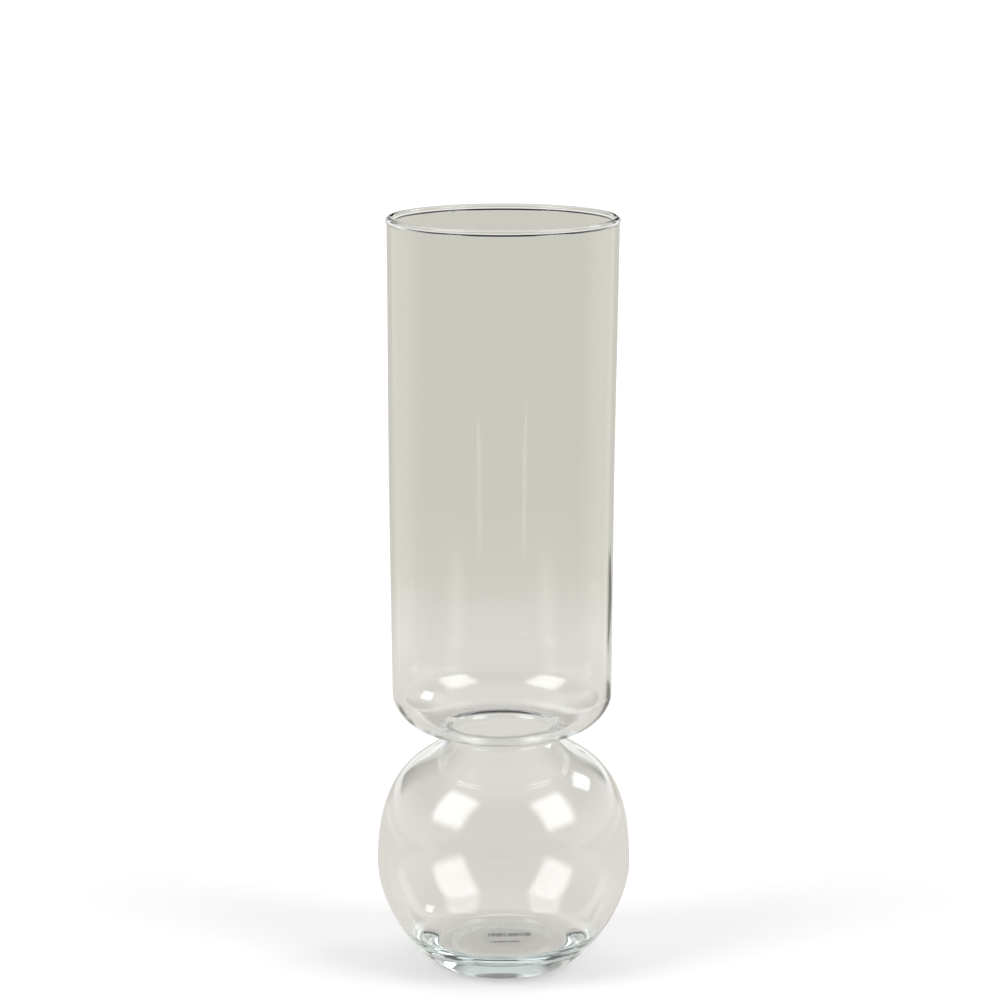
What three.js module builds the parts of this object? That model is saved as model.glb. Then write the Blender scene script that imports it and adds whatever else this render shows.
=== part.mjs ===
// Clear blown-glass vase: a tall, slightly flared cylinder over a round bulb, open through a narrow waist.
// Millimetres, +Z up. The origin is the centre of the foot, on the surface that the vase stands on.
import * as THREE from "three";

// Driving dimensions
const HEIGHT = 298;

// How finely the surface is divided: round the axis, and along each stretch of the section
const SEGMENTS = 56;
const PIECES = { recess: 4, footEdge: 3, belly: 11, crown: 11, groove: 4, shoulder: 8, bead: 10, floor: 6 };

// Foot: a flat ring round a shallow recess, with a rounded outer edge
const FOOT_OUTER_R = 24.4;
const FOOT_INNER_R = 21.9;
const FOOT_EDGE_R = 27.1;
const FOOT_EDGE_Z = 1;
const FOOT_RING_PULL_R = 25.4;
const FOOT_EDGE_PULL_R = 26.2;
const FOOT_EDGE_PULL_Z = 0.4;
const RECESS_R = 16.9;
const RECESS_DEPTH = 0.3;

// Bulb: its widest ring, and the pulls of the two curves that meet there
const BULB_R = 50;
const EQUATOR_Z = 41.4;
const BELLY_PULL_R = 38.6;
const BELLY_PULL_Z = 8.5;
const EQUATOR_PULL_DOWN = 14.7;
const EQUATOR_PULL_UP = 41;
const CROWN_PULL_R = 31;
const CROWN_PULL_Z = 83.7;

// Waist: a round groove between the bulb and the cylinder
const GROOVE_R = 22;
const GROOVE_ROUND = 1.7;
const GROOVE_Z = 93;
const LOWER_LIP_ANGLE = 222;
const UPPER_LIP_ANGLE = 90;

// Cylinder, with a fire-polished bead round its mouth
const SHOULDER_PULL_R = 36.5;
const CYLINDER_FOOT_R = 43.1;
const CYLINDER_FOOT_Z = 109.4;
const CYLINDER_PULL_DOWN = 4.5;
const MOUTH_R = 44.8;
const BEAD_R = 1.45;

// Thickness of the glass, from the base up
const BASE_THICKNESS = 9.2;
const LOW_WALL = 1.9;
const EQUATOR_WALL = 1.7;
const CROWN_WALL = 2.3;
const WAIST_WALL = 2.1;
const CYLINDER_WALL = 1.9;
const MOUTH_WALL = 2;

// The floor of the bulb: flat inside this radius, then rising in one curve that leaves the glass thick beside
// the lowest rings of the wall
const FLOOR_R = 27.2;
const FLOOR_PULL = 5;
const WALL_PULL = 7;
const THICK_RINGS = 4;

// A round film label in the recess
const LABEL_R = 11;
const LABEL_THICKNESS = 0.2;
const LABEL_X = 2.7;
const LABEL_Y = 5;
const LABEL_SEGMENTS = 40;

// Colours, with roughness and metalness
const CLEAR_GLASS = { color: 0xc9ccc2, roughness: 0.03, metalness: 0, transparent: true, opacity: 0.35 };
const LABEL_FILM = { color: 0xdcdcd6, roughness: 0.45, metalness: 0 };

// A point of the section: distance from the axis, then height.
const at = (r, z) => new THREE.Vector2(r, z);

// A cubic curve between two points of the section, without its first point.
function bend(start, startPull, endPull, end, pieces) {
  return new THREE.CubicBezierCurve(start, startPull, endPull, end).getPoints(pieces).slice(1);
}

// A round stretch of the section, without its first point. Angles are in degrees from the outward direction.
function round(centre, radius, from, to, pieces) {
  const start = THREE.MathUtils.degToRad(from);
  const end = THREE.MathUtils.degToRad(to);
  const arc = new THREE.EllipseCurve(centre.x, centre.y, radius, radius, start, end, to < from);
  return arc.getPoints(pieces).slice(1);
}

// Underside: a shallow recess that eases down into the flat ring on which the vase rests.
function underside() {
  const recessEdge = at(RECESS_R, RECESS_DEPTH);
  const ringInner = at(FOOT_INNER_R, 0);
  const middle = (RECESS_R + FOOT_INNER_R) / 2;
  return [
    at(0, RECESS_DEPTH),
    recessEdge,
    ...bend(recessEdge, at(middle, RECESS_DEPTH), at(middle, 0), ringInner, PIECES.recess),
    at(FOOT_OUTER_R, 0),
  ];
}

// The rounded edge between the foot ring and the side of the bulb.
function footEdge() {
  const ringOuter = at(FOOT_OUTER_R, 0);
  const edgePull = at(FOOT_EDGE_PULL_R, FOOT_EDGE_PULL_Z);
  return bend(ringOuter, at(FOOT_RING_PULL_R, 0), edgePull, at(FOOT_EDGE_R, FOOT_EDGE_Z), PIECES.footEdge);
}

// The outside above the foot, as points with the thickness of the glass at each.
function outerWall() {
  const equator = at(BULB_R, EQUATOR_Z);
  const grooveCentre = at(GROOVE_R + GROOVE_ROUND, GROOVE_Z);
  const lowerLip = round(grooveCentre, GROOVE_ROUND, LOWER_LIP_ANGLE, LOWER_LIP_ANGLE, 1)[0];
  const upperLip = at(grooveCentre.x, grooveCentre.y + GROOVE_ROUND);
  const cylinderFoot = at(CYLINDER_FOOT_R, CYLINDER_FOOT_Z);
  const belly = bend(
    at(FOOT_EDGE_R, FOOT_EDGE_Z),
    at(BELLY_PULL_R, BELLY_PULL_Z),
    at(BULB_R, EQUATOR_Z - EQUATOR_PULL_DOWN),
    equator,
    PIECES.belly,
  );
  const crown = bend(
    equator,
    at(BULB_R, EQUATOR_Z + EQUATOR_PULL_UP),
    at(CROWN_PULL_R, CROWN_PULL_Z),
    lowerLip,
    PIECES.crown,
  );
  const groove = round(grooveCentre, GROOVE_ROUND, LOWER_LIP_ANGLE, UPPER_LIP_ANGLE, PIECES.groove);
  const shoulder = bend(
    upperLip,
    at(SHOULDER_PULL_R, upperLip.y),
    at(CYLINDER_FOOT_R, CYLINDER_FOOT_Z - CYLINDER_PULL_DOWN),
    cylinderFoot,
    PIECES.shoulder,
  );
  return [
    ...thicken(belly, LOW_WALL, EQUATOR_WALL),
    ...thicken(crown, EQUATOR_WALL, CROWN_WALL),
    ...thicken(groove, CROWN_WALL, WAIST_WALL),
    ...thicken(shoulder, WAIST_WALL, CYLINDER_WALL),
    ...thicken([beadFoot()], CYLINDER_WALL, MOUTH_WALL),
  ];
}

// Gives each point of a stretch its thickness of glass, which changes evenly along the stretch.
function thicken(points, fromWall, toWall) {
  return points.map((point, i) => {
    return { point, wall: THREE.MathUtils.lerp(fromWall, toWall, (i + 1) / points.length) };
  });
}

// The angle at which the bead of the mouth meets the faces of the wall, in degrees.
const beadMeet = () => THREE.MathUtils.radToDeg(Math.asin(MOUTH_WALL / 2 / BEAD_R));

const beadCentre = () => at(MOUTH_R - MOUTH_WALL / 2, HEIGHT - BEAD_R);

// Where the outside of the cylinder meets the bead.
function beadFoot() {
  return at(MOUTH_R, beadCentre().y - BEAD_R * Math.cos(THREE.MathUtils.degToRad(beadMeet())));
}

// The inner side of the wall: each point of the outside, moved in by the glass's thickness there.
function innerSide(wall) {
  return wall.map(({ point, wall: thickness }, i) => {
    const before = wall[Math.max(i - 1, 0)].point;
    const after = wall[Math.min(i + 1, wall.length - 1)].point;
    const along = after.clone().sub(before).normalize();
    return at(point.x - along.y * thickness, point.y + along.x * thickness);
  });
}

// From the thin wall down into the flat floor of the bulb.
function floorRise(wallEnd, wallBefore) {
  const slope = wallEnd.clone().sub(wallBefore).setLength(WALL_PULL);
  const floorEdge = at(FLOOR_R, BASE_THICKNESS);
  const floorPull = at(FLOOR_R + FLOOR_PULL, BASE_THICKNESS);
  return bend(wallEnd, wallEnd.clone().add(slope), floorPull, floorEdge, PIECES.floor);
}

// The whole vessel is one blown body, revolved from one closed section.
function vaseGlass() {
  const outside = outerWall();
  const inside = innerSide(outside).slice(THICK_RINGS).reverse();
  const section = [
    ...underside(),
    ...footEdge(),
    ...outside.map(({ point }) => point),
    ...round(beadCentre(), BEAD_R, beadMeet() - 90, 270 - beadMeet(), PIECES.bead),
    ...inside.slice(1),
    ...floorRise(inside.at(-1), inside.at(-2)),
    at(0, BASE_THICKNESS),
  ];
  const mesh = new THREE.Mesh(
    new THREE.LatheGeometry(section, SEGMENTS).rotateX(Math.PI / 2),
    new THREE.MeshStandardMaterial(CLEAR_GLASS),
  );
  mesh.name = "vase_glass";
  return mesh;
}

// The label is stuck up inside the recess, so that it clears the table.
function baseLabel() {
  const disc = new THREE.CylinderGeometry(LABEL_R, LABEL_R, LABEL_THICKNESS, LABEL_SEGMENTS);
  const mesh = new THREE.Mesh(disc.rotateX(Math.PI / 2), new THREE.MeshStandardMaterial(LABEL_FILM));
  mesh.position.set(LABEL_X, LABEL_Y, RECESS_DEPTH - LABEL_THICKNESS / 2);
  mesh.name = "base_label";
  return mesh;
}

const vase = new THREE.Group();
vase.name = "bud_vase";
vase.add(vaseGlass(), baseLabel());

export default vase;
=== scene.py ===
import math

import bmesh
import bpy
from mathutils import Matrix, Vector, noise


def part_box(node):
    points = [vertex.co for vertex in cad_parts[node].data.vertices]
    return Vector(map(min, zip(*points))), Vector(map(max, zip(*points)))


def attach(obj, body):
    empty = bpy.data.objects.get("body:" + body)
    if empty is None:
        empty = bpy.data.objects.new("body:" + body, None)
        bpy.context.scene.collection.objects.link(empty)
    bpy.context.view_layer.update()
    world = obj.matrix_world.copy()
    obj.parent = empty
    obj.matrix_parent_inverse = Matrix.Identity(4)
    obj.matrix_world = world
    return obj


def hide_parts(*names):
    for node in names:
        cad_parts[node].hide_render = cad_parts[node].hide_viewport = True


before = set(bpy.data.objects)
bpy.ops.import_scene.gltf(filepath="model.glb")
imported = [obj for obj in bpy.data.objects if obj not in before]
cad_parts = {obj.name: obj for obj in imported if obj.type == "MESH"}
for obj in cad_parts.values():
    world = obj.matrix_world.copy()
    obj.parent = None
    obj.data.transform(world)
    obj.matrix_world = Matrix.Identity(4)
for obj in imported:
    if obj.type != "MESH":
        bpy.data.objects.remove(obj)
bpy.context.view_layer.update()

# A clear blown-glass vase: one glass vessel, and a small printed film label under its base.
# Lengths are in metres. The origin is the centre of the foot, on the surface that the vase stands on.
MM = 0.001

# ---------------------------------------------------------------- sizes

# Sizes that come from the frame
GLASS_LOW, GLASS_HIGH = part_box("vase_glass")
LABEL_LOW, LABEL_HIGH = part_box("base_label")
HEIGHT = GLASS_HIGH[2]
BULB_R = (GLASS_HIGH[0] - GLASS_LOW[0]) / 2
LABEL_R = (LABEL_HIGH[0] - LABEL_LOW[0]) / 2
LABEL_X = (LABEL_HIGH[0] + LABEL_LOW[0]) / 2
LABEL_Y = (LABEL_HIGH[1] + LABEL_LOW[1]) / 2

# Foot: a flat ring round a recess, which is shallower than in the CAD model so that its edge stays faint
RECESS_R = 16.9 * MM
RECESS_DEPTH = 0.16 * MM
FOOT_INNER_R = 21.9 * MM
FOOT_OUTER_R = 24.4 * MM
FOOT_RING_PULL_R = 25.4 * MM
FOOT_EDGE_PULL = (26.2 * MM, 0.3 * MM)

# Bulb: the pulls of its lower and upper curves, which meet at its widest ring
BELLY_START_R = 25.5 * MM
BELLY_PULL = (37.5 * MM, 6.75 * MM)
EQUATOR_Z = 41.4 * MM
EQUATOR_PULL_DOWN = 15.4 * MM
EQUATOR_PULL_UP = 41 * MM
CROWN_PULL = (31 * MM, 83.7 * MM)

# Waist: a round groove between the bulb and the cylinder, from its lower lip to its upper one
GROOVE_Z = 93 * MM
GROOVE_R = 22 * MM
GROOVE_ROUND = 1.7 * MM
LOWER_LIP_DEG = 222
UPPER_LIP_DEG = 90

# Cylinder, with a fire-polished bead at its mouth and a short straight root under the bead
SHOULDER_PULL_R = 36.5 * MM
CYLINDER_FOOT_R = 43.1 * MM
CYLINDER_FOOT_Z = 109.4 * MM
CYLINDER_PULL_DOWN = 4.5 * MM
MOUTH_R = 44.8 * MM
BEAD_R = 1.45 * MM
BEAD_ROOT = 0.3 * MM

# Thickness of the glass: in the base, extra beside the foot, then at the equator, crown, waist, the
# cylinder's foot and the mouth
BASE_THICKNESS = 9.2 * MM
FOOT_EXTRA = 0.2 * MM
EQUATOR_WALL = 1.7 * MM
CROWN_WALL = 2.3 * MM
WAIST_WALL = 2.1 * MM
CYLINDER_WALL = 1.9 * MM
MOUTH_WALL = 2 * MM

# The angle at which the bead meets the faces of the wall, in radians
BEAD_MEET = math.asin(MOUTH_WALL / 2 / BEAD_R)

# Floor of the bulb: flat inside this radius, then rising in one curve that meets the thin wall above its
# lowest rings
FLOOR_R = 27.2 * MM
FLOOR_PULL = 5 * MM
WALL_PULL = 7 * MM
THICK_RINGS = 28

# How finely the surfaces are divided: round the axis, and along each stretch of the section
TURN_STEPS = 224
FILM_TURN_STEPS = 96
STEPS = {
    "recess": 16, "recess_edge": 24, "foot_ring": 4, "foot_edge": 10, "belly": 44, "crown": 48, "groove": 16,
    "shoulder": 36, "cylinder": 40, "bead_root": 3, "bead": 28, "floor_rise": 24, "floor": 16,
    "film_face": 6, "film_edge": 6,
}

# The axis of a hand-blown piece wanders a little: heights, and how far it stands to the side there
LEAN = ((0, 0), (42 * MM, 0.2 * MM), (86 * MM, 0.7 * MM), (96 * MM, -0.4 * MM), (190 * MM, -0.6 * MM),
        (HEIGHT, 0))

# Its inner wall has low, long waves: their depth, spacing, stretch along the axis, and the height over which
# they fade out at the floor and at the mouth
WAVE_DEPTH = 0.16 * MM
WAVE_SPACING = 15 * MM
WAVE_STRETCH = 7
WAVE_FADE = 14 * MM

# The label: a clear film stuck up inside the recess, with the print on its upper face
FILM_THICKNESS = 0.08 * MM
FILM_GAP = 0.03 * MM
FILM_TOP = RECESS_DEPTH - FILM_GAP
INK_THICKNESS = 0.015 * MM
# Each row of print: left end and middle of the row, its width and height, and how many ticks it has
INK_ROWS = (
    (-6.1 * MM, 8.5 * MM, 17.6 * MM, 5.2 * MM, 19),
    (-5.0 * MM, -0.1 * MM, 12.0 * MM, 2.4 * MM, 14),
)
# How the ticks differ along a row: the least share of the full size, what is added to it at most, and the
# pace and start of the change
TICK_HEIGHTS = (0.45, 0.55, 1.9, 0.7)
TICK_WIDTHS = (0.3, 0.35, 2.7, 0)

# ---------------------------------------------------------------- looks

# Noises of the materials: scale per metre, and levels of detail
RIPPLE_NOISE = (60, 1)
SCRATCH_NOISE = (900, 4)
SMUDGE_NOISE = (25, 3)
GRAIN_NOISE = (350, 3)
MOTTLE_NOISE = (1400, 2)
NOISE_MEAN = 0.5
NO_STRETCH = (1, 1, 1)
RIPPLE_STRETCH = (1, 1, 0.2)
SCRATCH_STRETCH = (1, 0.15, 1)

# Glass. Each range is the part of a noise that counts, and each roughness is what that part becomes.
GLASS_IOR = 1.5
GLASS_TINTS = ((0.985, 0.995, 0.99), (1, 1, 1))
GLASS_ABSORPTION = (0.3, 0.62, 0.6, 1)
GLASS_DENSITY = 5
RIPPLE_DEPTH = 0.03 * MM
SCUFF_HEIGHT = 0.03 * MM
SCRATCH_RANGE = (0.5, 0.7)
SCRATCH_ROUGHNESS = (0.05, 0.35)
SMUDGE_RANGE = (0.55, 0.8)
SMUDGE_ROUGHNESS = (0, 0.012)

# Film and print
FILM_TINTS = ((0.5, 0.51, 0.49), (0.6, 0.61, 0.59))
FILM_ALPHA = 0.05
GRAIN_RANGE = (0.3, 0.7)
FILM_ROUGHNESS = (0.4, 0.6)
GRAIN_DEPTH = 0.005 * MM
INK_TINTS = ((0.06, 0.06, 0.057), (0.17, 0.17, 0.16))
MOTTLE_RANGE = (0.4, 0.65)
INK_ROUGHNESS = (0.5, 0.75)
MOTTLE_DEPTH = 0.003 * MM

# Floor: a large square a hair under the foot, white to the camera, with a little light of its own
FLOOR_HALF = 30
FLOOR_DROP = 0.05 * MM
FLOOR_COLOUR = (0.8, 0.8, 0.8, 1)
FLOOR_GLOW = 0.24

# What the glass sees of the floor, a glow which stands in for a softly lit table and is brightest near the
# vase as a painted pool of light:
# its glow colour at distances from the vase, how much the edges between them wander, and the bright horizon
# that it fades into far off
TABLE_LIGHT_POOL_TONES = (
    (0.02, (0.735, 0.70, 0.66)),
    (0.55, (0.72, 0.69, 0.65)),
    (0.72, (0.63, 0.61, 0.55)),
    (0.95, (0.61, 0.59, 0.53)),
)
TABLE_EDGE_NOISE = (7, 2)
TABLE_EDGE_WANDER = 0.16
FADE_START = 2.6
FADE_END = 6
HORIZON = (0.95, 0.945, 0.935, 1)
# Painted patches of light on both sides of the table, brighter pools in its glow: angles from the camera's
# side where each starts and ends, distances where it starts and ends, soft edge in degrees, added brightness
TABLE_LIGHT_PATCHES = (
    (98, 146, 0.5, 3.2, 8, 0.3),
    (23.3, 24.5, 0.8, 1.25, 0.5, 2.4),
    (43, 56, 0.46, 0.78, 10, 0.55),
)
PATCH_SOFT_REACH = 0.15

# Room: its tone at some heights above the horizon, as the sine of the elevation
ROOM_TONES = (
    (0.06, (0.97, 0.965, 0.955)),
    (0.16, (0.85, 0.85, 0.85)),
    (0.36, (0.5, 0.5, 0.5)),
    (0.5, (0.2, 0.2, 0.2)),
    (0.7, (0.2, 0.2, 0.2)),
    (0.84, (0.75, 0.75, 0.75)),
    (0.95, (0.85, 0.85, 0.85)),
)
# The camera's side of the room is darker: how far a direction points that way where it starts and ends, and
# how much light is left there
DARK_SIDE_START = 0.15
DARK_SIDE_END = 0.55
DARK_SIDE = 0.45
# Soft lights: azimuth from the camera's side, elevation, width and height in degrees, brightness
SOFTBOXES = (
    (-62, 38, 33, 36, 5.5),
    (60, 36, 33, 36, 5.5),
    (123, 35, 15, 12, 8.0),
    (-162, 38, 12, 50, 1.0),
    (159, 38, 7, 50, 0.8),
)
SOFTBOX_SOFT = 0.3
# Black cards behind the vase: azimuth from the camera's side, elevation, width and height in degrees
BLACK_CARDS = (
    (-144, 26, 20, 38),
    (176, 26, 22, 38),
    (149, 26, 11, 38),
)
CARD_SOFT = 0.08
# Keeps a division away from zero for directions beside a panel
LEAST_AHEAD = 0.001

# Camera: sensor width in millimetres, focal length as a multiple of it, place, and degrees downward
SENSOR_WIDTH = 36
FOCAL_RATIO = 3.553
CAMERA_PLACE = (-1.2 * MM, -1.3594, 0.4556)
CAMERA_DOWN = 11.18

# How often light may turn before it is lost
MOST_BOUNCES = 32


# ---------------------------------------------------------------- section curves

def bezier(start, start_pull, end_pull, end, pieces):
    """Points of a cubic curve, without its first point."""
    points = []
    for i in range(1, pieces + 1):
        t = i / pieces
        s = 1 - t
        weights = (s ** 3, 3 * s * s * t, 3 * s * t * t, t ** 3)
        corners = (start, start_pull, end_pull, end)
        points.append(tuple(sum(w * c[k] for w, c in zip(weights, corners)) for k in (0, 1)))
    return points


def arc(centre, radius, start_deg, end_deg, pieces):
    """Points of a circular stretch, without its first point; angles count from the outward direction."""
    points = []
    for i in range(1, pieces + 1):
        angle = math.radians(start_deg + (end_deg - start_deg) * i / pieces)
        points.append((centre[0] + radius * math.cos(angle), centre[1] + radius * math.sin(angle)))
    return points


def straight(start, end, pieces):
    """Points of a straight stretch, without its first point."""
    return [
        tuple(start[k] + (end[k] - start[k]) * i / pieces for k in (0, 1))
        for i in range(1, pieces + 1)
    ]


def underside():
    """The shallow recess inside a narrow flat ring, from the axis out to the foot's edge."""
    centre = (0, RECESS_DEPTH)
    recess_edge = (RECESS_R, RECESS_DEPTH)
    ring_inner = (FOOT_INNER_R, 0)
    ease = (FOOT_INNER_R - RECESS_R) / 2
    recess_pull = (RECESS_R + ease, RECESS_DEPTH)
    ring_pull = (FOOT_INNER_R - ease, 0)
    return [
        centre,
        *straight(centre, recess_edge, STEPS["recess"]),
        *bezier(recess_edge, recess_pull, ring_pull, ring_inner, STEPS["recess_edge"]),
        *straight(ring_inner, (FOOT_OUTER_R, 0), STEPS["foot_ring"]),
    ]


def lower_bulb():
    """The outside of the bulb from the foot up to its equator, and the thickness of the glass there."""
    equator = (BULB_R, EQUATOR_Z)
    equator_pull = (BULB_R, EQUATOR_Z - EQUATOR_PULL_DOWN)
    belly = bezier((BELLY_START_R, 0), BELLY_PULL, equator_pull, equator, STEPS["belly"])
    # The foot's rounded edge runs into the belly's curve a little above its start
    ring_pull = (FOOT_RING_PULL_R, 0)
    foot_edge = bezier((FOOT_OUTER_R, 0), ring_pull, FOOT_EDGE_PULL, belly[1], STEPS["foot_edge"])
    points = foot_edge + belly[2:]
    count = len(points)
    walls = [EQUATOR_WALL + (1 - (i + 1) / count) * FOOT_EXTRA for i in range(count)]
    return points, walls


def upper_wall():
    """The outside from the equator to the mouth's bead, and the thickness of the glass there."""
    equator = (BULB_R, EQUATOR_Z)
    equator_pull = (BULB_R, EQUATOR_Z + EQUATOR_PULL_UP)
    groove_centre = (GROOVE_R + GROOVE_ROUND, GROOVE_Z)
    lower_lip = arc(groove_centre, GROOVE_ROUND, LOWER_LIP_DEG, LOWER_LIP_DEG, 1)[0]
    upper_lip = (groove_centre[0], groove_centre[1] + GROOVE_ROUND)
    shoulder_pull = (SHOULDER_PULL_R, upper_lip[1])
    cylinder_pull = (CYLINDER_FOOT_R, CYLINDER_FOOT_Z - CYLINDER_PULL_DOWN)
    cylinder_foot = (CYLINDER_FOOT_R, CYLINDER_FOOT_Z)
    bead_start = (MOUTH_R, HEIGHT - BEAD_R - BEAD_R * math.cos(BEAD_MEET))
    bead_root = (MOUTH_R, bead_start[1] - BEAD_ROOT)

    crown = bezier(equator, equator_pull, CROWN_PULL, lower_lip, STEPS["crown"])
    groove = arc(groove_centre, GROOVE_ROUND, LOWER_LIP_DEG, UPPER_LIP_DEG, STEPS["groove"])
    shoulder = bezier(upper_lip, shoulder_pull, cylinder_pull, cylinder_foot, STEPS["shoulder"])
    cylinder = straight(cylinder_foot, bead_root, STEPS["cylinder"])
    root = straight(bead_root, bead_start, STEPS["bead_root"])
    points = []
    walls = []
    for stretch, first, last in (
        (crown, EQUATOR_WALL, CROWN_WALL),
        (groove, CROWN_WALL, WAIST_WALL),
        (shoulder, WAIST_WALL, CYLINDER_WALL),
        (cylinder, CYLINDER_WALL, MOUTH_WALL),
        (root, MOUTH_WALL, MOUTH_WALL),
    ):
        points += stretch
        walls += [first + (last - first) * (i + 1) / len(stretch) for i in range(len(stretch))]
    return points, walls


def bead():
    """The fire-polished edge of the mouth, a round bead a little thicker than the wall."""
    centre = (MOUTH_R - MOUTH_WALL / 2, HEIGHT - BEAD_R)
    meet = math.degrees(BEAD_MEET)
    return arc(centre, BEAD_R, meet - 90, 270 - meet, STEPS["bead"])


def inset(points, walls):
    """The inner side of a wall: each point of the outside, moved in by the glass's thickness there."""
    moved = []
    last = len(points) - 1
    for i, (point, wall) in enumerate(zip(points, walls)):
        before = points[max(i - 1, 0)]
        after = points[min(i + 1, last)]
        along = Vector((after[0] - before[0], after[1] - before[1])).normalized()
        moved.append((point[0] - along.y * wall, point[1] + along.x * wall))
    return moved


def vessel_section():
    """The closed section, from the underside's centre round to the floor's, and where its inside starts."""
    low, low_walls = lower_bulb()
    high, high_walls = upper_wall()
    outside = low + high
    inside = inset(outside, low_walls + high_walls)[THICK_RINGS:][::-1]
    wall_end = inside[-1]
    slope = Vector(wall_end) - Vector(inside[-2])
    wall_pull = tuple(Vector(wall_end) + slope.normalized() * WALL_PULL)
    floor_pull = (FLOOR_R + FLOOR_PULL, BASE_THICKNESS)
    floor_edge = (FLOOR_R, BASE_THICKNESS)
    floor_rise = bezier(wall_end, wall_pull, floor_pull, floor_edge, STEPS["floor_rise"])
    floor = straight(floor_edge, (0, BASE_THICKNESS), STEPS["floor"])
    outer_side = underside() + outside + bead()
    return outer_side + inside[1:] + floor_rise + floor, len(outer_side)


def film_section():
    """The closed section of the label's film, a thin disc with a round edge."""
    low = FILM_TOP - FILM_THICKNESS
    edge = FILM_THICKNESS / 2
    flat_r = LABEL_R - edge
    return [
        (0, low),
        *straight((0, low), (flat_r, low), STEPS["film_face"]),
        *arc((flat_r, low + edge), edge, -90, 90, STEPS["film_edge"]),
        *straight((flat_r, FILM_TOP), (0, FILM_TOP), STEPS["film_face"]),
    ]


# ---------------------------------------------------------------- meshes

def add_piece(name, bm):
    """Puts a finished mesh into the scene as an object of that name."""
    mesh = bpy.data.meshes.new(name)
    bm.to_mesh(mesh)
    bm.free()
    piece = bpy.data.objects.new(name, mesh)
    bpy.context.collection.objects.link(piece)
    return piece


def lathe(name, points, steps):
    """A closed smooth surface of revolution about Z. The first and the last point lie on the axis."""
    bm = bmesh.new()
    first = bm.verts.new((0, 0, points[0][1]))
    rings = []
    for r, z in points[1:-1]:
        ring = []
        for i in range(steps):
            angle = 2 * math.pi * i / steps
            ring.append(bm.verts.new((r * math.cos(angle), r * math.sin(angle), z)))
        rings.append(ring)
    last = bm.verts.new((0, 0, points[-1][1]))
    for i in range(steps):
        j = (i + 1) % steps
        bm.faces.new((first, rings[0][j], rings[0][i]))
        for low, high in zip(rings, rings[1:]):
            bm.faces.new((low[i], low[j], high[j], high[i]))
        bm.faces.new((rings[-1][i], rings[-1][j], last))
    piece = add_piece(name, bm)
    polygons = piece.data.polygons
    polygons.foreach_set("use_smooth", [True] * len(polygons))
    return piece


def lean(z):
    """How far the vessel's axis stands to the side at a height."""
    for (low, first), (high, last) in zip(LEAN, LEAN[1:]):
        if z <= high:
            t = max((z - low) / (high - low), 0)
            return first + (last - first) * t * t * (3 - 2 * t)
    return LEAN[-1][1]


def wave(x, y, z):
    """How far the inner wall stands in or out at a point; it fades out at the floor and the mouth."""
    fade = min(max((z - BASE_THICKNESS) / WAVE_FADE, 0), 1) * min(max((HEIGHT - z) / WAVE_FADE, 0), 1)
    place = Vector((x / WAVE_SPACING, y / WAVE_SPACING, z / WAVE_SPACING / WAVE_STRETCH))
    return WAVE_DEPTH * fade * noise.noise(place)


def make_uneven(piece, first_inside):
    """Leans the whole vessel, and gives its inner wall the waves."""
    for vert in piece.data.vertices:
        x, y, z = vert.co
        if vert.index >= first_inside:
            outward = Vector((x, y)).normalized() * wave(x, y, z)
            x += outward.x
            y += outward.y
        vert.co = (x + lean(z), y, z)


def make_glass():
    section, first_inside = vessel_section()
    piece = lathe("glass_vessel", section, TURN_STEPS)
    make_uneven(piece, 1 + (first_inside - 1) * TURN_STEPS)
    piece.data.materials.append(glass_material())
    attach(piece, "root")
    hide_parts("vase_glass")


def make_film():
    film = lathe("label_film", film_section(), FILM_TURN_STEPS)
    film.data.transform(Matrix.Translation((LABEL_X, LABEL_Y, 0)))
    film.data.materials.append(film_material())
    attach(film, "root")
    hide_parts("base_label")


def share(spread, i):
    """The share of the full size that tick number i has."""
    least, added, pace, start = spread
    return least + added * abs(math.sin(pace * i + start))


def ink_tick(bm, x, y, width, height):
    """One tick of print, a thin slab standing on the film."""
    corners = ((x, y), (x + width, y), (x + width, y + height), (x, y + height))
    low = [bm.verts.new((cx, cy, FILM_TOP)) for cx, cy in corners]
    high = [bm.verts.new((cx, cy, FILM_TOP + INK_THICKNESS)) for cx, cy in corners]
    bm.faces.new(low[::-1])
    bm.faces.new(high)
    for i in range(4):
        j = (i + 1) % 4
        bm.faces.new((low[i], low[j], high[j], high[i]))


def make_print():
    """Two rows of plain upright ticks of uneven height and width, which say nothing."""
    bm = bmesh.new()
    for left, middle, width, height, ticks in INK_ROWS:
        pitch = width / ticks
        for i in range(ticks):
            tall = height * share(TICK_HEIGHTS, i)
            wide = pitch * share(TICK_WIDTHS, i)
            ink_tick(bm, left + i * pitch, middle - tall / 2, wide, tall)
    ink = add_piece("label_print", bm)
    ink.data.materials.append(ink_material())
    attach(ink, "root")


# ---------------------------------------------------------------- nodes

def new_material(name):
    material = bpy.data.materials.new(name)
    material.use_nodes = True
    nodes = material.node_tree.nodes
    nodes.clear()
    return material, nodes, material.node_tree.links


def math_node(nodes, links, operation, *values):
    """A Math node fed by sockets or plain numbers; returns its output."""
    node = nodes.new("ShaderNodeMath")
    node.operation = operation
    for socket, value in zip(node.inputs, values):
        if isinstance(value, (int, float)):
            socket.default_value = value
        else:
            links.new(value, socket)
    return node.outputs[0]


def remap(nodes, links, value, low, high, to_low=0, to_high=1, shape="LINEAR"):
    """Maps a value from one range to another, clamped at both ends."""
    node = nodes.new("ShaderNodeMapRange")
    node.interpolation_type = shape
    node.inputs["From Min"].default_value = low
    node.inputs["From Max"].default_value = high
    node.inputs["To Min"].default_value = to_low
    node.inputs["To Max"].default_value = to_high
    links.new(value, node.inputs["Value"])
    return node.outputs["Result"]


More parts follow.
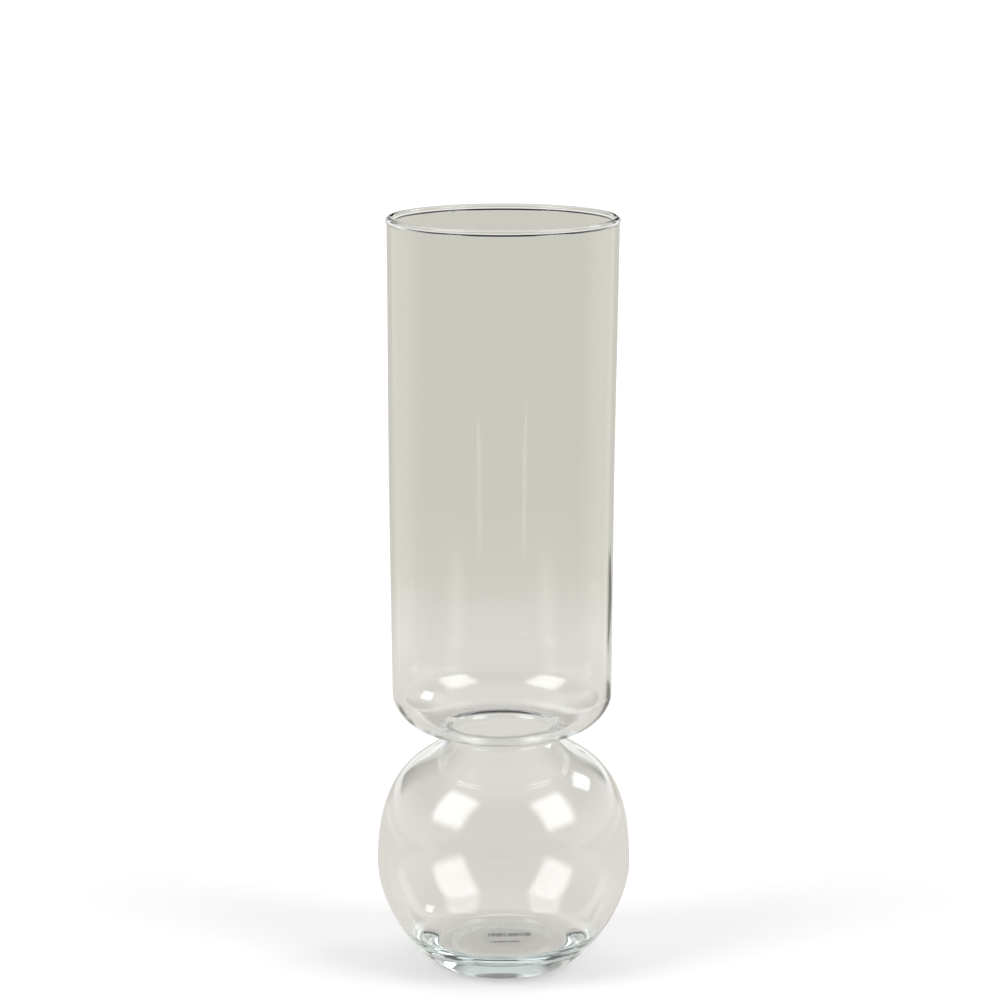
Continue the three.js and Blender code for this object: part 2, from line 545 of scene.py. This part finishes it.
def between(nodes, links, value, low, high, soft):
    """1 where a value lies between two limits, with soft edges."""
    rise = remap(nodes, links, value, low - soft / 2, low + soft / 2, shape="SMOOTHSTEP")
    fall = remap(nodes, links, value, high + soft / 2, high - soft / 2, shape="SMOOTHSTEP")
    return math_node(nodes, links, "MULTIPLY", rise, fall)


def ramp(nodes, links, value, stops):
    """A colour that runs through stops, each a value and a colour, in order."""
    node = nodes.new("ShaderNodeValToRGB")
    elements = node.color_ramp.elements
    for element, (position, colour) in zip(elements, (stops[0], stops[-1])):
        element.position = position
        element.color = (*colour, 1)
    for position, colour in stops[1:-1]:
        elements.new(position).color = (*colour, 1)
    links.new(value, node.inputs["Fac"])
    return node.outputs["Color"]


def tint(nodes, links, value, colours):
    """A colour that runs from one to another as the value goes from 0 to 1."""
    return ramp(nodes, links, value, tuple(enumerate(colours)))


def bump(nodes, links, height, distance):
    """A normal that follows a height between 0 and 1, over that distance."""
    node = nodes.new("ShaderNodeBump")
    node.inputs["Distance"].default_value = distance
    links.new(height, node.inputs["Height"])
    return node.outputs["Normal"]


def noise_at(nodes, links, place, scale, detail):
    """A noise at a place, about 0.5 on average; scale counts per metre."""
    texture = nodes.new("ShaderNodeTexNoise")
    texture.inputs["Scale"].default_value = scale
    texture.inputs["Detail"].default_value = detail
    links.new(place, texture.inputs["Vector"])
    return texture.outputs["Fac"]


def piece_noise(nodes, links, sizes, stretch=NO_STRETCH):
    """A noise over the piece's own coordinates, which may be stretched along some axes."""
    place = nodes.new("ShaderNodeTexCoord")
    sized = nodes.new("ShaderNodeMapping")
    sized.inputs["Scale"].default_value = stretch
    links.new(place.outputs["Object"], sized.inputs["Vector"])
    return noise_at(nodes, links, sized.outputs["Vector"], *sizes)


def split_xyz(nodes, links, vector):
    """The outputs of a vector's three parts, by the name of the axis."""
    node = nodes.new("ShaderNodeSeparateXYZ")
    links.new(vector, node.inputs["Vector"])
    return node.outputs


def facing(nodes, links, direction, axis):
    """How far the looked-at direction points along an axis."""
    node = nodes.new("ShaderNodeVectorMath")
    node.operation = "DOT_PRODUCT"
    links.new(direction, node.inputs[0])
    node.inputs[1].default_value = axis
    return node.outputs["Value"]


# ---------------------------------------------------------------- materials

def glass_material():
    """Clear glass: faint ripples and smudges in the surface, and a scuffed ring where the foot rubs."""
    material, nodes, links = new_material("clear_blown_glass")
    output = nodes.new("ShaderNodeOutputMaterial")
    shader = nodes.new("ShaderNodeBsdfPrincipled")
    shader.inputs["Transmission Weight"].default_value = 1
    shader.inputs["IOR"].default_value = GLASS_IOR
    ripple = piece_noise(nodes, links, RIPPLE_NOISE, RIPPLE_STRETCH)
    links.new(tint(nodes, links, ripple, GLASS_TINTS), shader.inputs["Base Color"])
    links.new(bump(nodes, links, ripple, RIPPLE_DEPTH), shader.inputs["Normal"])
    # Fine scratches, only within a hair of the surface that the foot stands on
    place = nodes.new("ShaderNodeTexCoord")
    height = split_xyz(nodes, links, place.outputs["Object"])["Z"]
    worn = remap(nodes, links, height, 0, SCUFF_HEIGHT, 1, 0)
    scratches = piece_noise(nodes, links, SCRATCH_NOISE, SCRATCH_STRETCH)
    scratches = remap(nodes, links, scratches, *SCRATCH_RANGE, *SCRATCH_ROUGHNESS)
    scuffs = math_node(nodes, links, "MULTIPLY", worn, scratches)
    smudges = piece_noise(nodes, links, SMUDGE_NOISE)
    smudges = remap(nodes, links, smudges, *SMUDGE_RANGE, *SMUDGE_ROUGHNESS)
    links.new(math_node(nodes, links, "MAXIMUM", scuffs, smudges), shader.inputs["Roughness"])
    links.new(shader.outputs["BSDF"], output.inputs["Surface"])
    absorption = nodes.new("ShaderNodeVolumeAbsorption")
    absorption.inputs["Color"].default_value = GLASS_ABSORPTION
    absorption.inputs["Density"].default_value = GLASS_DENSITY
    links.new(absorption.outputs["Volume"], output.inputs["Volume"])
    return material


def film_material():
    """Clear film with a satin face, a little uneven where the glue wets the glass."""
    material, nodes, links = new_material("clear_label_film")
    output = nodes.new("ShaderNodeOutputMaterial")
    shader = nodes.new("ShaderNodeBsdfPrincipled")
    grain = piece_noise(nodes, links, GRAIN_NOISE)
    links.new(tint(nodes, links, grain, FILM_TINTS), shader.inputs["Base Color"])
    links.new(remap(nodes, links, grain, *GRAIN_RANGE, *FILM_ROUGHNESS), shader.inputs["Roughness"])
    links.new(bump(nodes, links, grain, GRAIN_DEPTH), shader.inputs["Normal"])
    shader.inputs["Alpha"].default_value = FILM_ALPHA
    links.new(shader.outputs["BSDF"], output.inputs["Surface"])
    return material


def ink_material():
    """Dark grey screen print, thinner and paler in spots."""
    material, nodes, links = new_material("grey_print")
    output = nodes.new("ShaderNodeOutputMaterial")
    shader = nodes.new("ShaderNodeBsdfPrincipled")
    mottle = remap(nodes, links, piece_noise(nodes, links, MOTTLE_NOISE), *MOTTLE_RANGE)
    links.new(tint(nodes, links, mottle, INK_TINTS), shader.inputs["Base Color"])
    links.new(remap(nodes, links, mottle, 0, 1, *INK_ROUGHNESS), shader.inputs["Roughness"])
    links.new(bump(nodes, links, mottle, MOTTLE_DEPTH), shader.inputs["Normal"])
    links.new(shader.outputs["BSDF"], output.inputs["Surface"])
    return material


def table_light(nodes, links):
    """The light that the glass gets from the table: a painted glow, brightest near the vase as a painted
    pool of light, with painted patches of light on both sides.
    """
    place = nodes.new("ShaderNodeNewGeometry").outputs["Position"]
    across = split_xyz(nodes, links, place)
    toward = math_node(nodes, links, "MULTIPLY", across["Y"], -1)
    turn = math_node(nodes, links, "ARCTAN2", across["X"], toward)
    turn = math_node(nodes, links, "DEGREES", math_node(nodes, links, "ABSOLUTE", turn))
    length = nodes.new("ShaderNodeVectorMath")
    length.operation = "LENGTH"
    links.new(place, length.inputs[0])
    reach = length.outputs["Value"]

    cloud = noise_at(nodes, links, place, *TABLE_EDGE_NOISE)
    wander = math_node(nodes, links, "SUBTRACT", cloud, NOISE_MEAN)
    wander = math_node(nodes, links, "MULTIPLY", wander, TABLE_EDGE_WANDER)
    # Painted pool of light: the glow is brightest near the vase and darker further off
    tone = ramp(nodes, links, math_node(nodes, links, "ADD", reach, wander), TABLE_LIGHT_POOL_TONES)
    blend = nodes.new("ShaderNodeMix")
    blend.data_type = "RGBA"
    # This node's colour sockets share their names with its number sockets, so they are taken by place
    factor, near_colour, far_colour = (blend.inputs[i] for i in (0, 6, 7))
    links.new(remap(nodes, links, reach, FADE_START, FADE_END), factor)
    links.new(tone, near_colour)
    far_colour.default_value = HORIZON

    strength = 1
    # Painted patches of light on both sides, added to the table's glow
    for turn_from, turn_to, near, far, soft, added in TABLE_LIGHT_PATCHES:
        mask = math_node(nodes, links, "MULTIPLY",
                         between(nodes, links, turn, turn_from, turn_to, soft),
                         between(nodes, links, reach, near, far, PATCH_SOFT_REACH))
        patch = math_node(nodes, links, "MULTIPLY", mask, added)
        strength = math_node(nodes, links, "ADD", patch, strength)
    glow = nodes.new("ShaderNodeEmission")
    links.new(blend.outputs[2], glow.inputs["Color"])
    links.new(strength, glow.inputs["Strength"])
    return glow.outputs["Emission"]


def floor_material():
    """A white matt floor with a little light of its own; the glass sees it as the softly lit table."""
    material, nodes, links = new_material("pale_floor")
    output = nodes.new("ShaderNodeOutputMaterial")
    matt = nodes.new("ShaderNodeBsdfDiffuse")
    matt.inputs["Color"].default_value = FLOOR_COLOUR
    lift = nodes.new("ShaderNodeEmission")
    lift.inputs["Strength"].default_value = FLOOR_GLOW
    white = nodes.new("ShaderNodeAddShader")
    links.new(matt.outputs["BSDF"], white.inputs[0])
    links.new(lift.outputs["Emission"], white.inputs[1])
    path = nodes.new("ShaderNodeLightPath")
    mix = nodes.new("ShaderNodeMixShader")
    links.new(path.outputs["Is Camera Ray"], mix.inputs["Fac"])
    links.new(table_light(nodes, links), mix.inputs[1])
    links.new(white.outputs["Shader"], mix.inputs[2])
    links.new(mix.outputs["Shader"], output.inputs["Surface"])
    return material


# ---------------------------------------------------------------- stage, light and camera

def make_floor():
    bm = bmesh.new()
    bmesh.ops.create_grid(bm, x_segments=1, y_segments=1, size=FLOOR_HALF)
    floor = add_piece("floor", bm)
    floor.location.z = -FLOOR_DROP
    floor.data.materials.append(floor_material())


def towards(azimuth, elevation):
    """A direction from the vase: azimuth counts from the camera's side, positive to the right."""
    a = math.radians(azimuth)
    e = math.radians(elevation)
    return Vector((math.cos(e) * math.sin(a), -math.cos(e) * math.cos(a), math.sin(e)))


def panel_mask(nodes, links, direction, azimuth, elevation, wide_deg, high_deg, soft):
    """1 inside a rectangular panel that hangs far away in the studio, 0 outside, with soft edges."""
    centre = towards(azimuth, elevation)
    right = centre.cross(Vector((0, 0, 1))).normalized()
    up = right.cross(centre).normalized()
    ahead = facing(nodes, links, direction, centre)
    mask = math_node(nodes, links, "GREATER_THAN", ahead, 0)
    divisor = math_node(nodes, links, "MAXIMUM", ahead, LEAST_AHEAD)
    for axis, degrees in ((right, wide_deg), (up, high_deg)):
        half = math.tan(math.radians(degrees / 2))
        offset = math_node(nodes, links, "DIVIDE", facing(nodes, links, direction, axis), divisor)
        offset = math_node(nodes, links, "ABSOLUTE", offset)
        inside = remap(nodes, links, offset, half * (1 + soft), half * (1 - soft), shape="SMOOTHSTEP")
        mask = math_node(nodes, links, "MULTIPLY", mask, inside)
    return mask


def room_shade(nodes, links, direction):
    """How much of the room's light is left: less on the camera's side of the studio, none on the cards."""
    camera_side = facing(nodes, links, direction, (0, -1, 0))
    shade = remap(nodes, links, camera_side, DARK_SIDE_START, DARK_SIDE_END, 1, DARK_SIDE, "SMOOTHSTEP")
    for card in BLACK_CARDS:
        covered = panel_mask(nodes, links, direction, *card, CARD_SOFT)
        shade = math_node(nodes, links, "MULTIPLY", shade, math_node(nodes, links, "SUBTRACT", 1, covered))
    return shade


def make_lights():
    """A room whose tone changes with height, with soft lights and black cards in it."""
    world = bpy.data.worlds.new("studio")
    bpy.context.scene.world = world
    world.use_nodes = True
    nodes = world.node_tree.nodes
    links = world.node_tree.links
    nodes.clear()
    output = nodes.new("ShaderNodeOutputWorld")
    direction = nodes.new("ShaderNodeTexCoord").outputs["Generated"]
    height = split_xyz(nodes, links, direction)["Z"]
    room = nodes.new("ShaderNodeBackground")
    links.new(ramp(nodes, links, height, ROOM_TONES), room.inputs["Color"])
    links.new(room_shade(nodes, links, direction), room.inputs["Strength"])
    total = room.outputs["Background"]
    for *box, brightness in SOFTBOXES:
        mask = panel_mask(nodes, links, direction, *box, SOFTBOX_SOFT)
        glow = nodes.new("ShaderNodeBackground")
        links.new(math_node(nodes, links, "MULTIPLY", mask, brightness), glow.inputs["Strength"])
        add = nodes.new("ShaderNodeAddShader")
        links.new(total, add.inputs[0])
        links.new(glow.outputs["Background"], add.inputs[1])
        total = add.outputs[0]
    links.new(total, output.inputs["Surface"])


def make_camera():
    data = bpy.data.cameras.new("camera")
    data.sensor_width = SENSOR_WIDTH
    data.lens = SENSOR_WIDTH * FOCAL_RATIO
    camera = bpy.data.objects.new("camera", data)
    bpy.context.collection.objects.link(camera)
    camera.location = CAMERA_PLACE
    camera.rotation_euler = (math.radians(90 - CAMERA_DOWN), 0, 0)
    bpy.context.scene.camera = camera
    bpy.context.scene.view_settings.view_transform = "Standard"


def make_light_paths():
    """Light turns many times inside thick glass before it leaves."""
    cycles = bpy.context.scene.cycles
    cycles.max_bounces = MOST_BOUNCES
    cycles.glossy_bounces = MOST_BOUNCES
    cycles.transmission_bounces = MOST_BOUNCES


make_glass()
make_film()
make_print()
make_floor()
make_lights()
make_camera()
make_light_paths()
